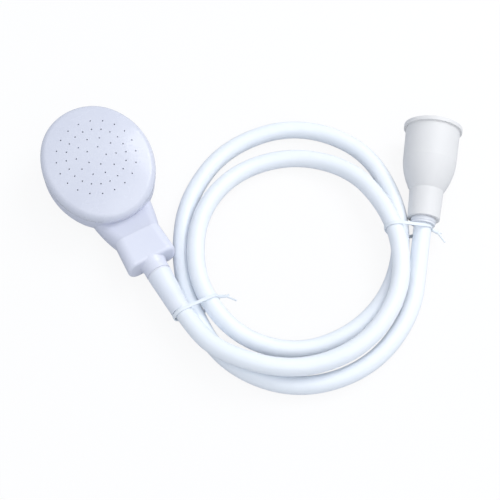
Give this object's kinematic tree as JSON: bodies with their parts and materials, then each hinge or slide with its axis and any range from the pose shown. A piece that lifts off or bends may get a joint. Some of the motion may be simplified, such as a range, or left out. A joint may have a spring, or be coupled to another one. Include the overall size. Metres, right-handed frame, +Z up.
{
  "type": "handheld bath sprayer",
  "caption": "Handheld bath sprayer: an oval spray head on a short flattened neck that turns on a coiled white hose, with a soft rubber cup that pushes on to a tap.",
  "frame": {"origin": "on the surface it lies on, at the middle of the spray head's box (the hose, its fittings and its ties left out)", "axes": "+Z up, the way the spray face looks; +Y along the neck from the hose to the top of the head; +X to the right across the face"},
  "size_m": [0.2688, 0.2545, 0.0432],
  "materials": {
    "white_abs": "moulded, soft gloss",
    "seal_rubber": "moulded black rubber",
    "tail_acetal": "moulded, smooth",
    "clip_acetal": "moulded, smooth",
    "cuff_vinyl": "soft vinyl, satin",
    "hose_vinyl": "extruded soft vinyl, satin",
    "ferrule_plastic": "moulded, smooth",
    "cup_rubber": "moulded white rubber, satin",
    "tie_coating": "plastic-covered wire"
  },
  "bodies": {
    "hose_line": {"swivel_tail": "tail_acetal", "retaining_clip": "clip_acetal", "tail_seals": "seal_rubber", "hose_cuff": "cuff_vinyl", "hose": "hose_vinyl", "tap_ferrule": "ferrule_plastic", "tap_tail": "tail_acetal", "tap_cup": "cup_rubber", "left_tie": "tie_coating", "right_tie": "tie_coating"},
    "head": {"spray_plate": "white_abs", "plate_gasket": "seal_rubber", "rear_shell": "white_abs", "neck_collar": "white_abs", "neck_seal": "seal_rubber"}
  },
  "joints": [
    {"name": "head_swivel", "type": "hinge", "parent": "hose_line", "child": "head", "pos_m": [0, -0.0645, 0.017], "axis": [0, 1, 0], "continuous": true}
  ]
}
